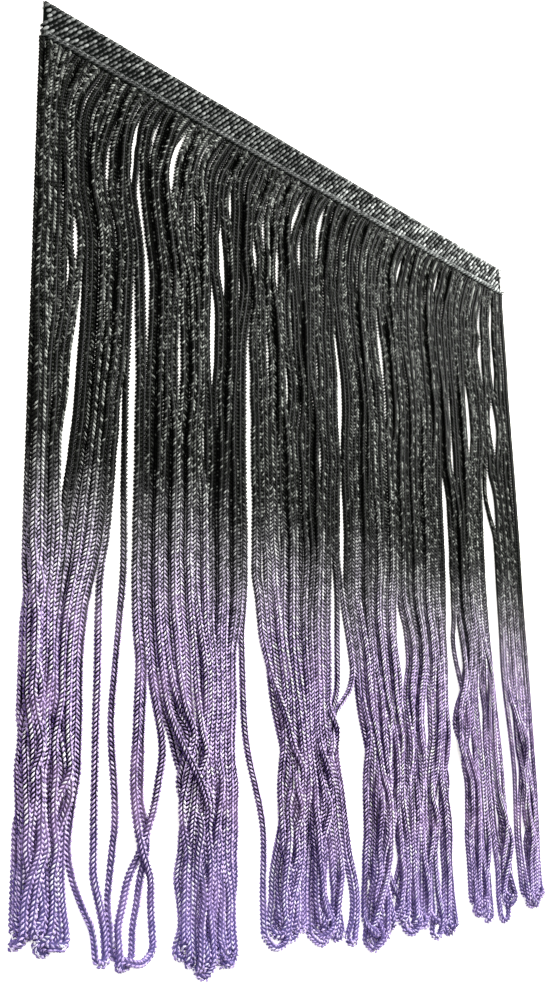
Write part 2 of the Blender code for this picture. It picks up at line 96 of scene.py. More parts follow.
# leg at the left of the parting, rows of (drop, middle of the parting, its width)
PARTINGS = (
    (11, ((58, 16.5, 0.0), (75, 16.3, 1.4), (95, 15.0, 2.8), (115, 13.6, 4.0), (130, 12.2, 2.7),
          (148, 10.8, 0.0))),
    (20, ((160, 21.5, 0.0), (180, 21.4, 2.2), (200, 21.3, 2.2), (212, 21.0, 3.3), (222, 19.8, 6.0),
          (235, 18.4, 8.8), (250, 18.0, 10.0))),
    (21, ((104, 30.2, 0.0), (120, 30.3, 1.3), (140, 29.6, 2.7), (160, 28.7, 4.2), (180, 27.9, 3.8),
          (195, 26.9, 2.6), (210, 28.0, 3.9), (225, 27.8, 3.2))),
    (22, ((56, 36.0, 0.0), (75, 36.1, 1.7), (95, 35.6, 2.4), (130, 35.3, 2.1), (155, 35.2, 1.6),
          (172, 35.5, 4.2), (182, 35.2, 4.9), (195, 33.3, 4.6), (210, 33.8, 2.5), (222, 34.9, 4.2))),
    (24, ((176, 41.6, 0.0), (190, 42.0, 2.0), (200, 43.4, 5.2), (208, 42.8, 4.4), (216, 41.8, 2.4))),
    (25, ((202, 49.8, 0.0), (210, 49.4, 2.0), (216, 48.3, 5.4), (224, 48.0, 8.9), (250, 48.0, 8.0))),
    (34, ((170, 57.0, 0.0), (188, 58.8, 3.2), (197, 58.0, 0.0))),
    (49, ((166, 75.6, 0.0), (175, 75.2, 1.5), (190, 75.6, 3.8), (205, 77.1, 5.8), (215, 77.8, 8.8),
          (225, 78.2, 11.6), (235, 77.6, 10.7), (250, 75.8, 6.5))),
    (50, ((66, 82.0, 0.0), (86, 82.8, 3.6), (100, 81.9, 2.2), (125, 81.6, 2.7), (150, 82.0, 4.1),
          (165, 82.4, 5.9), (180, 84.0, 8.1), (190, 85.0, 10.1), (200, 85.3, 8.6), (210, 86.4, 2.9),
          (222, 87.5, 0.0))),
    (56, ((126, 94.0, 0.0), (135, 94.4, 2.8), (146, 94.4, 2.0), (158, 94.0, 0.0))),
    (61, ((128, 102.0, 0.0), (136, 103.0, 2.0), (153, 102.3, 0.0))),
    (71, ((132, 118.3, 0.0), (145, 118.4, 2.4), (160, 117.9, 2.7), (172, 117.4, 2.4),
          (182, 117.2, 4.0), (190, 115.9, 3.0), (198, 114.2, 0.0))),
    (72, ((158, 121.8, 0.0), (166, 123.4, 2.8), (178, 123.3, 3.9), (184, 122.0, 0.0))),
    (73, ((52, 123.9, 0.0), (62, 124.0, 1.8), (86, 125.7, 4.6), (95, 124.8, 1.6), (115, 124.7, 1.5),
          (132, 124.1, 2.9), (148, 123.9, 0.0), (166, 128.4, 0.0), (178, 128.6, 0.0),
          (190, 126.3, 7.5), (200, 125.5, 8.0), (220, 125.9, 5.8), (230, 125.5, 3.0),
          (243, 126.0, 0.0))),
    (89, ((144, 151.5, 0.0), (152, 152.5, 3.0), (160, 154.0, 6.4), (166, 153.7, 4.2),
          (176, 151.8, 0.0))),
    (101, ((192, 170.5, 0.0), (204, 169.9, 1.8), (236, 169.8, 1.6), (246, 170.0, 0.0))),
    (105, ((82, 182.0, 0.0), (100, 182.4, 3.3), (115, 183.0, 4.0), (135, 182.0, 3.6),
           (150, 180.8, 4.8), (160, 181.3, 5.8), (175, 180.2, 4.4), (183, 178.9, 3.4),
           (192, 178.6, 6.4), (200, 179.7, 11.0), (230, 177.6, 10.0), (250, 179.5, 13.0))),
    (113, ((164, 197.0, 0.0), (172, 197.6, 3.2), (183, 197.3, 2.6), (197, 197.5, 0.0),
           (214, 197.0, 0.0), (236, 198.3, 3.4), (250, 198.5, 3.0))),
    (119, ((86, 207.8, 0.0), (104, 208.8, 3.6), (114, 209.5, 6.9), (130, 209.0, 6.6),
           (150, 209.7, 5.5), (165, 210.0, 3.1), (182, 211.2, 4.0), (198, 212.4, 5.2),
           (224, 211.7, 3.1), (250, 214.5, 3.0))),
)

# leg that crosses its neighbours, first drop, last drop, places that it moves along the row
CROSSINGS = (
    (1, 180, 225, 6), (3, 185, 220, 5), (8, 190, 230, -5), (14, 190, 235, 4), (17, 200, 240, -6),
    (26, 183, 232, 10), (27, 185, 228, 11), (28, 180, 220, 9), (29, 178, 215, 7), (31, 190, 225, -3),
    (33, 190, 235, -5), (35, 195, 235, -6), (43, 200, 238, -5),
    (51, 178, 215, 7), (52, 180, 222, 6), (58, 190, 230, -5), (62, 200, 240, 4), (66, 195, 235, -4),
    (69, 190, 206, 1), (70, 188, 206, 2), (71, 186, 204, 2), (72, 182, 206, -7), (73, 176, 210, -8),
    (74, 178, 225, 6), (77, 182, 222, 5), (84, 170, 215, -5), (89, 160, 210, -6), (92, 172, 226, -5),
    (96, 185, 232, -6), (101, 190, 235, -4),
    (106, 150, 200, 3), (110, 165, 205, -4), (114, 140, 185, 3), (118, 150, 178, -3), (116, 200, 238, 3),
    (121, 165, 200, 3), (124, 180, 220, -3), (126, 190, 240, -4), (122, 210, 244, 4),
)

# leg, rows of (drop, place along the tape) for the few that go their own way at the foot
STRAYS = {
    20: ((218, 15.0), (228, 16.2), (236, 19.6), (246, 25.6)),
    21: ((222, 24.4), (232, 24.6), (246, 29.0)),
    22: ((222, 31.0), (230, 29.9), (238, 29.2), (248, 30.2)),
    23: ((212, 37.2), (222, 38.8), (228, 41.0), (234, 42.8), (248, 44.2)),
    24: ((212, 39.6), (224, 40.4), (232, 40.0), (245, 37.2)),
    25: ((200, 47.4), (210, 45.4), (218, 42.6), (226, 39.2), (232, 35.8), (245, 32.0)),
}

# place along the tape, drop of the longest loops there
FEET = (
    (0, 246), (4, 243), (10, 248.5), (16, 247), (27, 251.5), (36, 252.5), (46, 251), (54, 251),
    (61, 255.5), (72, 253), (80, 251), (92, 251.5), (98, 248), (104, 247), (112, 252), (120, 250),
    (129, 254), (140, 249), (150, 251), (157, 247), (165, 250.5), (174, 248), (184, 239),
    (190, 245.5), (197, 246), (205, 247), (212, 240), (218, 241), (226, 244), (231, 249),
)

# Short slits between yarns, which close again: width, then its ends as (place, drop)
SLITS = (
    (3.0, (53, 21), (48, 38)), (3.0, (43, 21), (38, 33)), (3.0, (36, 23), (32, 39)),
    (1.0, (20, 20), (15, 27)), (1.5, (23, 25), (20, 33)), (1.5, (66, 19), (61, 27)),
    (1.0, (71, 16), (66, 24)), (2.5, (76, 28), (73, 44)), (1.0, (87, 17), (84, 24)),
    (3.0, (99, 28), (94, 49)), (2.0, (109, 15), (102, 35)), (2.0, (119, 18), (114, 42)),
    (1.5, (164, 20), (160, 28)), (2.0, (187, 17), (185, 23)), (3.5, (214, 28), (212, 45)),
    (3.0, (222, 31), (220, 46)), (1.0, (222, 22), (220, 28)), (1.5, (14, 31), (12, 39)),
    (1.0, (26.5, 30), (25, 48)), (1.5, (228, 28), (228, 40)),
    (0.6, (44.5, 38), (45, 58)), (0.5, (41, 42), (41, 90)), (1.0, (55.5, 46), (55.5, 56)),
    (1.0, (59.5, 33), (59.5, 60)), (1.0, (67.5, 28), (67.5, 60)), (3.0, (72, 46), (69.5, 64)),
    (3.0, (67, 64), (66.5, 95)), (1.0, (78.5, 51), (78.5, 65)), (1.0, (13, 62), (13, 68)),
    (1.0, (52.7, 78), (52.7, 103)), (1.5, (90, 33), (90, 40)), (1.5, (107, 33), (107, 43)),
    (1.0, (86, 44), (86, 50)), (1.5, (101.5, 60), (101.5, 76)), (1.8, (92, 69), (91.5, 95)),
    (2.0, (99, 79), (99.5, 97)), (1.5, (115, 70), (115, 80)), (1.0, (106, 96), (106, 103)),
    (1.2, (62.5, 108), (62.5, 122)), (1.0, (115.5, 103), (115.5, 110)),
    (2.0, (143.5, 57), (144.5, 90)), (3.0, (148, 48), (148, 64)), (1.0, (149, 70), (149, 88)),
    (1.5, (189, 64), (189, 76)), (3.0, (189, 85), (189, 95)), (1.0, (201.5, 62), (201.5, 80)),
    (2.5, (218, 67), (218, 72)), (2.0, (213.5, 95), (213.5, 103)), (1.0, (87, 143), (87, 150)),
    (1.0, (10.5, 72), (10.5, 85)), (3.0, (165, 176), (165, 190)), (2.4, (142, 222), (142, 244)),
    (2.8, (112, 224), (112, 246)), (2.5, (188, 178), (188, 190)), (3.0, (186.5, 152), (186.5, 161)),
    (1.5, (121, 235), (121, 243)), (2.5, (227.5, 183), (227.5, 195)),
)
SLIT_REACH = 8.0
SLIT_SPARE = 7.0
SLIT_SPARE_SHARE = 0.3
SLIT_POWER = 1.5

# The foot of a loop, in millimetres
SHORTEST_BY = 6.0
EYE_LEAST = 3.0
EYE_MOST = 4.6
EYE_LIMIT = 6.5
TWISTED_SHARE = 0.2
TURN_DEEP_LEAST = 1.5
TURN_DEEP_MOST = 4.0
CLOSING_RUN = 22.0
KNOT_CLEAR = 4.0
STRAY_BLEND = 20.0
SHORTER_POWER = 1.6
FOOT_ROWS = 8
FOOT_ABOVE = 8.0

# How the yarns settle on each other under their own weight
SETTLE_ROUNDS = 260
PART_ROUNDS = 60
NEAR_EVERY = 12
NEAR_REACH = 1.2
PILE_MOST = 6.8
SINK = 0.15
SINK_FADES = 0.5
SINK_LOW = 0.4
SINK_HIGH = 4.0
PUSH_MOST = 1.6
PUSH_CROWDED = 0.5
LEAST_APART = 0.001
HOLD = 0.1
LEVEL_OUT = 0.12
LAYER_ORDER = (0.0, 2.0, 1.0, 3.0)
LAYER_JITTER = 1.5
CURVE_STEP = 1.5

# First loop of each piece of the fringe: it is cut into pieces at the widest partings
CLUMPS = (0, 13, 25, 37, 53)

# Chainette: shares are of the cord's radius. Each stitch has its own random tone and size, and its tone is
# darkened as painted shade where its column turns sideways or down.
CORE_SHARE = 0.68
CORE_STEP = 2.8
STITCH_OUT = 0.68
STITCH_HIGH = 0.4
ROLL_MOST = 28.0
TWIST_WAVES = 22.0
TONE_LEAST = 0.62
SIDE_SHADE_LEAST = 0.5
SIZE_CHANCE = 0.08

# Heading tape, in millimetres
GROUND_THICK = 1.3
GROUND_LOW = 0.45
RIB_LEAN = 12.0
EDGE_CHAIN_THICK = 2.6
TOP_CORD_THICK = 1.5
EDGE_CHAIN_HEIGHT = 1.3
TOP_CORD_HEIGHT = 1.2
CORD_INSET = 0.9
CORD_POINTS = 60
EDGE_STITCH_LONG = 2.6
EDGE_ROLL = 0.1
GROUND_SHORTER = 2.4
GROUND_NARROWER = 0.6
KNOTS_CLEAR = 0.8
KNOT_WIDE = 0.95
KNOT_OVERLAP = 1.2
KNOT_SUNK = 0.05
KNOT_JITTER = 0.12
KNOT_MARGIN = 0.36

# Dye: each row is a tone and its colour, with painted glints at the light end and painted shade at the dark
# end. How ragged the dye line is, and where the foot's dye is, in metres.
BLACK_DYE_AND_PAINTED_LIGHT = ((0.0, "#010101"), (0.35, "#020202"), (0.65, "#161912"), (0.9, "#b2b6ae"))
VIOLET_DYE_AND_PAINTED_LIGHT = ((0.0, "#0e061c"), (0.35, "#57427c"), (0.65, "#e2caf8"), (0.88, "#ffffff"))
YARN_TONES = 0.2
PATCH_RAGGED = 0.016
YARN_RAGGED = 0.010
STITCH_RAGGED = 0.022
FOOT_DYE = (0.215, 0.25)
# The gimp's painted glints: how much lighter they grow from the tape's middle to its right end, as painted
# sheen, and the power that keeps them to a few knots.
SHEEN_TO_RIGHT_END = (0.9, 4.2)
GLINT_POWER = 2.5

# How many waves of a pattern lie in a metre: at 3500 they are 0.3 mm apart, and at 60 they are 17 mm apart
FILAMENT_WAVES = 3500.0
PATCH_WAVES = 60.0
TINT_WAVES = 70.0
GIMP_WAVES = 90.0
PAPER_WAVES = 3.0

# Kinds of node that are used again and again
MATHS = "ShaderNodeMath"
VECTOR = "ShaderNodeVectorMath"
COMBINE = "ShaderNodeCombineXYZ"
NOISE = "ShaderNodeTexNoise"
MIX = "ShaderNodeMix"
MAP_RANGE = "ShaderNodeMapRange"
RANDOM = "FunctionNodeRandomValue"
STORE = "GeometryNodeStoreNamedAttribute"
MOVE = "GeometryNodeSetPosition"

# The camera that sees the trim as the photograph does, in metres and degrees
CAMERA_PLACE = (-0.3108, -0.2314, 0.2547)
CAMERA_AIM = (-0.0218, -0.1176, 0.0)
CAMERA_ROLL = 74.83
CAMERA_LENS = 48.41
SENSOR = 36.0
CLIP_START = 0.01
FLOOR_SIZE = 6.0
LIGHT_AIM = (0.0, -0.12, 0.0)

# name, place, size, share of the key light's power
LIGHTS = (("key", (0.60, 0.30, 0.55), 0.35, 1.0), ("fill", (-0.50, 0.10, 0.70), 0.60, 0.4))


def linear(hex_colour):
    """An sRGB hex colour as linear red, green, blue and alpha."""
    parts = [int(hex_colour[i:i + 2], 16) / 255 for i in (1, 3, 5)]
    return tuple(c / 12.92 if c <= 0.04045 else ((c + 0.055) / 1.055) ** 2.4 for c in parts) + (1.0,)


def add_node(tree, kind, inputs=None, **settings):
    """Adds a node. Each input is a value, another node, whose first output is used, or an output."""
    node = tree.nodes.new(kind)
    for name, value in settings.items():
        setattr(node, name, value)
    for key, value in (inputs or {}).items():
        named = [s for s in node.inputs if s.enabled and s.name == key]
        target = node.inputs[key] if isinstance(key, int) else named[0]
        if isinstance(value, bpy.types.Node):
            value = next(s for s in value.outputs if s.enabled)
        if isinstance(value, bpy.types.NodeSocket):
            tree.links.new(value, target)
        else:
            target.default_value = value
    return node


def ease(t):
    """Smooth rise from 0 to 1."""
    t = np.clip(t, 0.0, 1.0)
    return t * t * (3.0 - 2.0 * t)


def soften(table, times):
    """Takes the corners off each column of a table."""
    for _ in range(times):
        table[1:-1] = 0.25 * table[:-2] + 0.5 * table[1:-1] + 0.25 * table[2:]
    return table


def home_places():
    """Place of each leg along the tape where it hangs straight, before any parting."""
    legs, places = zip(*HOME)
    return np.interp(np.arange(LEGS), legs, places)


def places_at(drop):
    """Place of each leg along the tape at one drop."""
    home = home_places()
    shifts = {0: 0.0, LEGS - 1: 0.0}
    for leg, rows in PARTINGS:
        drops, middles, widths = zip(*rows)
        if not drops[0] <= drop <= drops[-1]:
            continue
        middle = np.interp(drop, drops, middles)
        width = np.interp(drop, drops, widths)
        aside = (width + PARTING_EXTRA * ease(width / PARTING_OPENS)) / 2 + YARN_RADIUS
        shifts[leg] = middle - aside - home[leg]
        shifts[leg + 1] = middle + aside - home[leg + 1]
    rank = np.arange(LEGS, dtype=float)
    for leg, first, last, moves in CROSSINGS:
        rank[leg] += moves * ease((drop - first) / (last - first))
    parted = sorted(shifts)
    shift = np.interp(rank, parted, [shifts[leg] for leg in parted])
    return np.interp(rank, np.arange(LEGS), home) + shift


def wander(rng, drops):
    """Small sideways waves of each leg, which grow towards the foot."""
    wave_long = 26.0
    sway_long = 83.0
    sway_legs = 31.0
    sway = 0.5
    rounded = 10
    at_top, more_at_foot = 0.15, 0.75
    grows_from, grows_over = 60.0, 170.0
    marks = np.arange(0.0, TABLE_END + 2 * wave_long, wave_long)
    own = rng.uniform(-1.0, 1.0, (len(marks), LEGS))
    table = np.empty((len(drops), LEGS))
    for leg in range(LEGS):
        table[:, leg] = np.interp(drops, marks, own[:, leg])
    soften(table, rounded)
    turns = drops[:, None] / sway_long + np.arange(LEGS)[None, :] / sway_legs
    grow = at_top + more_at_foot * ease((drops - grows_from) / grows_over)
    return (table + sway * np.sin(2 * math.pi * turns)) * grow[:, None]


def leg_table(rng):
    """Drops, and the place of each leg along the tape at each of them."""
    drops = np.arange(STRAIGHT_FROM - TABLE_SPARE, TABLE_END + TABLE_STEP, TABLE_STEP)
    table = soften(np.array([places_at(drop) for drop in drops]), TABLE_ROUNDED)
    return drops, table + wander(rng, drops)


def leg_place(leg, drop, drops, table):
    """Place of a leg along the tape at a drop: slanted at first, then straight down."""
    root = (leg + 0.5) * LEG_PITCH
    if drop < STRAIGHT_FROM:
        place = np.interp(STRAIGHT_FROM, drops, table[:, leg])
        t = max(0.0, (drop - HEADING_WIDE) / (STRAIGHT_FROM - HEADING_WIDE))
        return root + (place - root) * (1.0 - (1.0 - t) ** SLANT_POWER)
    place = float(np.interp(drop, drops, table[:, leg]))
    if leg in STRAYS:
        stray_drops, stray_places = zip(*STRAYS[leg])
        if drop >= stray_drops[0]:
            return float(np.interp(drop, stray_drops, stray_places))
        joins = float(np.interp(stray_drops[0], drops, table[:, leg]))
        share = float(ease((drop - stray_drops[0] + STRAY_BLEND) / STRAY_BLEND))
        place += (stray_places[0] - joins) * share
    return place


def foot_of(loop, drops, table, chance):
    """Middle, half width and lowest drop of a loop's turn. The half width is negative if it is twisted."""
    legs = (2 * loop, 2 * loop + 1)
    if legs[0] in STRAYS:
        left, right = (STRAYS[leg][-1][1] for leg in legs)
        middle = (left + right) / 2
        return middle, (right - left) / 2, np.interp(middle, *zip(*FEET))
    near_foot = np.searchsorted(drops, TABLE_END - FOOT_ROWS * TABLE_STEP)
    middle = table[near_foot, legs[0]] / 2 + table[near_foot, legs[1]] / 2
    lowest = np.interp(middle, *zip(*FEET)) - chance["shorter"][loop]
    left, right = (leg_place(leg, lowest - FOOT_ABOVE, drops, table) for leg in legs)
    half = min(max(abs(right - left), chance["eye"][loop]), EYE_LIMIT) / 2
    crossed = right < left
    if crossed != bool(chance["twist"][loop] < TWISTED_SHARE):
        half = -half
    return (left + right) / 2, half, lowest


def beside_slits(place, drop, middles):
    """Place of a point once the slits near it have pushed it aside. A leg keeps to the side of a slit on
    which it is halfway down it, and middles holds the leg's places there."""
    for (width, (top_place, top), (low_place, low)), middle in zip(SLITS, middles):
        down = (drop - top) / (low - top)
        spare = SLIT_SPARE / (low - top) + SLIT_SPARE_SHARE
        t = (down + spare) / (1 + 2 * spare)
        if not 0.0 < t < 1.0:
            continue
        side = math.copysign(1.0, middle - (top_place + low_place) / 2)
        line = top_place + (low_place - top_place) * down
        off = side * (place - line)
        if off >= SLIT_REACH:
            continue
        bulge = math.sin(math.pi * t) ** SLIT_POWER
        if off < 0.0:
            off *= 1.0 - bulge
        aside = ((width + PARTING_EXTRA) / 2 + YARN_RADIUS) * bulge
        place = line + side * (off + aside * (1.0 - max(off, 0.0) / SLIT_REACH))
    return place


def loop_routes():
    """Route of each loop, down one leg, round its foot and up the other, as rows of (place, drop)."""
    rng = np.random.default_rng(SEED)
    drops, table = leg_table(rng)
    chance = {
        "shorter": SHORTEST_BY * rng.uniform(0.0, 1.0, LOOPS) ** SHORTER_POWER,
        "eye": rng.uniform(EYE_LEAST, EYE_MOST, LOOPS),
        "twist": rng.uniform(0.0, 1.0, LOOPS),
    }
    slanted = np.arange(HEADING_WIDE + KNOT_STEP_SLANTED, STRAIGHT_FROM, KNOT_STEP_SLANTED)
    straight = np.arange(STRAIGHT_FROM, TABLE_END, KNOT_STEP_STRAIGHT)
    routes = []
    for loop in range(LOOPS):
        middle, half, lowest = foot_of(loop, drops, table, chance)
        deep = min(max(abs(half), TURN_DEEP_LEAST), TURN_DEEP_MOST)
        start = lowest - deep
        sides = []
        for leg, end in ((2 * loop, middle - half), (2 * loop + 1, middle + half)):
            rows = [((leg + 0.5) * LEG_PITCH, HEADING_WIDE - ROOT_INSIDE)]
            middles = [leg_place(leg, (top + low) / 2, drops, table) for _, (_, top), (_, low) in SLITS]
            for drop in np.concatenate([slanted, straight]):
                if drop > start - KNOT_CLEAR:
                    continue
                place = leg_place(leg, drop, drops, table)
                if leg not in STRAYS:
                    place += (end - place) * float(ease((drop - start + CLOSING_RUN) / CLOSING_RUN))
                rows.append((beside_slits(place, drop, middles), drop))
            sides.append(rows)
        turn = []
        for step in range(TURN_STEPS + 1):
            angle = math.pi * step / TURN_STEPS
            turn.append((middle - half * math.cos(angle), start + deep * math.sin(angle)))
        routes.append(np.array(sides[0] + turn + sides[1][::-1]))
    return routes


def near_pairs(points, starts, radii, reach):
    """Pairs of segments that come near each other, apart from neighbours on one yarn."""
    ends = starts + 1
    spare = radii.max() + reach / 2
    low = np.minimum(points[starts], points[ends]) - spare
    high = np.maximum(points[starts], points[ends]) + spare
    order = np.argsort(low[:, 0], kind="stable")
    low, high = low[order], high[order]
    firsts, seconds = [], []
    for first in range(len(order)):
        others = np.arange(first + 1, np.searchsorted(low[:, 0], high[first, 0]))
        meets = np.all((low[others, 1:] <= high[first, 1:]) & (low[first, 1:] <= high[others, 1:]), axis=1)
        seconds.append(order[others[meets]])
        firsts.append(np.full(len(seconds[-1]), order[first]))
    first, second = np.concatenate(firsts), np.concatenate(seconds)
    apart = np.abs(starts[first] - starts[second]) > 2
    return first[apart], second[apart]


def nearest_fractions(a, b, c, d):
    """How far along segments a-b and c-d their nearest points are."""
    along, across, between = b - a, d - c, a - c
    aa = (along * along).sum(1)
    bb = (along * across).sum(1)
    cc = (across * across).sum(1)
    ab = (along * between).sum(1)
    cb = (across * between).sum(1)
    spread = aa * cc - bb * bb
    even = spread <= 1e-9 * aa * cc
    s = np.where(even, 0.5, np.clip((bb * cb - ab * cc) / np.where(even, 1.0, spread), 0.0, 1.0))
    t = (bb * s + cb) / cc
    s = np.where(t < 0.0, np.clip(-ab / aa, 0.0, 1.0), s)
    s = np.where(t > 1.0, np.clip((bb - ab) / aa, 0.0, 1.0), s)
    return s, np.clip(t, 0.0, 1.0)


def push_apart(points, starts, radii, held, pairs):
    """Moves each pair of segments that is too close half of what it lacks, up and down where the two cross
    at one height. All stay above the surface and between the ends of the tape."""
    i, j = starts[pairs[0]], starts[pairs[1]]
    s, t = nearest_fractions(points[i], points[i + 1], points[j], points[j + 1])
    here = points[i] + (points[i + 1] - points[i]) * s[:, None]
    there = points[j] + (points[j + 1] - points[j]) * t[:, None]
    away = here - there
    away[:, 2] += LEAST_APART
    distance = np.sqrt((away * away).sum(1))
    room = radii[i] * (1 - s) + radii[i + 1] * s + radii[j] * (1 - t) + radii[j + 1] * t + YARN_GAP
    close = room > distance
    i, j, s, t = i[close], j[close], s[close], t[close]
    push = 0.5 * ((room - distance) / distance)[close, None] * away[close]
    even_s = 1.0 / ((1 - s) ** 2 + s ** 2)
    even_t = 1.0 / ((1 - t) ** 2 + t ** 2)
    move = np.zeros_like(points)
    count = np.zeros(len(points))
    for index, weight in ((i, (1 - s) * even_s), (i + 1, s * even_s),
                          (j, (t - 1) * even_t), (j + 1, -t * even_t)):
        for axis in range(3):
            move[:, axis] += np.bincount(index, push[:, axis] * weight, len(points))
        count += np.bincount(index, (np.abs(weight) > 1e-6).astype(float), len(points))
    share = np.minimum(PUSH_MOST / (1.0 + PUSH_CROWDED * (np.maximum(count, 1.0) - 1.0)), 1.0)
    move[held] = 0.0
    points += move * share[:, None]
    points[:, 0] = np.clip(points[:, 0], radii, TRIM_LONG - radii)
    points[:, 2] = np.clip(points[:, 2], np.where(held, points[:, 2], radii), PILE_MOST)


def settle(routes):
    """Lays the loops down: they sink, and lie on the surface and on each other."""
    rng = np.random.default_rng(SEED)
    jitter = LAYER_JITTER * rng.uniform(0.0, 1.0, LEGS)
    points, radii, starts, inner = [], [], [], []
    for loop, route in enumerate(routes):
        lowest = int(np.argmax(route[:, 1]))
        for number, (place, drop) in enumerate(route):
            leg = 2 * loop + int(number > lowest)
            root = drop < HEADING_WIDE
            height = ROOT_HEIGHT if root else YARN_RADIUS + LAYER_ORDER[leg % 4] + jitter[leg]
            if 0 < number < len(route) - 1:
                inner.append(len(points))
            if number < len(route) - 1:
                starts.append(len(points))
            points.append((place, -drop, height))
            radii.append(ROOT_THICK / 2 if root else YARN_RADIUS)
    points, radii = np.array(points), np.array(radii)
    starts, inner = np.array(starts), np.array(inner)
    held = radii < YARN_RADIUS
    aim = points.copy()
    for turn in range(SETTLE_ROUNDS + PART_ROUNDS):
        if turn % NEAR_EVERY == 0:
            pairs = near_pairs(points, starts, radii, YARN_GAP + NEAR_REACH)
        if turn < SETTLE_ROUNDS:
            weight = SINK * (1.0 - SINK_FADES * turn / SETTLE_ROUNDS)
            points[inner, 2] -= weight * (SINK_LOW + points[inner, 2] / SINK_HIGH)
            points[inner, :2] += HOLD * (aim[inner, :2] - points[inner, :2])
            level = (points[inner - 1, 2] + points[inner + 1, 2]) / 2
            points[inner, 2] += LEVEL_OUT * (level - points[inner, 2])
            push_apart(points, starts, radii, held, pairs)
        push_apart(points, starts, radii, held, pairs)
    lengths = np.cumsum([len(route) for route in routes])[:-1]
    return np.split(points, lengths)


def smooth_line(knots, step):
    """Points about a step apart on a smooth curve through the knots."""
    padded = np.vstack([2 * knots[0] - knots[1], knots, 2 * knots[-1] - knots[-2]])
    line = []
    for before, here, there, after in zip(padded, padded[1:], padded[2:], padded[3:]):
        count = max(1, round(float(np.linalg.norm(there - here)) / step))
        for t in np.arange(count) / count:
            line.append(here + 0.5 * t * (there - before
                        + t * (2 * before - 5 * here + 4 * there - after
                               + t * (3 * (here - there) + after - before))))
    line.append(knots[-1])
    return np.array(line)


def to_row(line):
    """Rows of (place, -drop, height) in millimetres as metres in the trim's own frame."""
    return (line + np.array((-TRIM_LONG / 2, FIRST_EDGE, 0.0))) * MM


def guide_mesh(name, lines, shades):
    """Bare lines as a mesh of edges, with one shade for each line."""
    verts, edges, tints = [], [], []
    for line, shade in zip(lines, shades):
        first = len(verts)
        verts.extend(map(tuple, line))
        edges.extend((first + i, first + i + 1) for i in range(len(line) - 1))
        tints.extend([shade] * len(line))
    mesh = bpy.data.meshes.new(name)
    mesh.from_pydata(verts, edges, [])
    mesh.attributes.new("strand", "FLOAT", "POINT").data.foreach_set("value", tints)
    return mesh


def new_tree(name, inputs):
    """A geometry tree with named inputs, its input node and its output node."""
    tree = bpy.data.node_groups.new(name, "GeometryNodeTree")
    tree.interface.new_socket("Geometry", in_out="INPUT", socket_type="NodeSocketGeometry")
    for label, kind in inputs.items():
        tree.interface.new_socket(label, in_out="INPUT", socket_type="NodeSocket" + kind)
    tree.interface.new_socket("Geometry", in_out="OUTPUT", socket_type="NodeSocketGeometry")
    return tree, tree.nodes.new("NodeGroupInput")


def end_tree(tree, geometry, finish):
    """Ends a geometry tree: instances made real, smooth shading and the material."""
    add = partial(add_node, tree)
    real = add("GeometryNodeRealizeInstances", {"Geometry": geometry})
    smooth = add("GeometryNodeSetShadeSmooth", {"Geometry": real})
    done = add("GeometryNodeSetMaterial", {"Geometry": smooth, "Material": finish})
    add("NodeGroupOutput", {"Geometry": done})


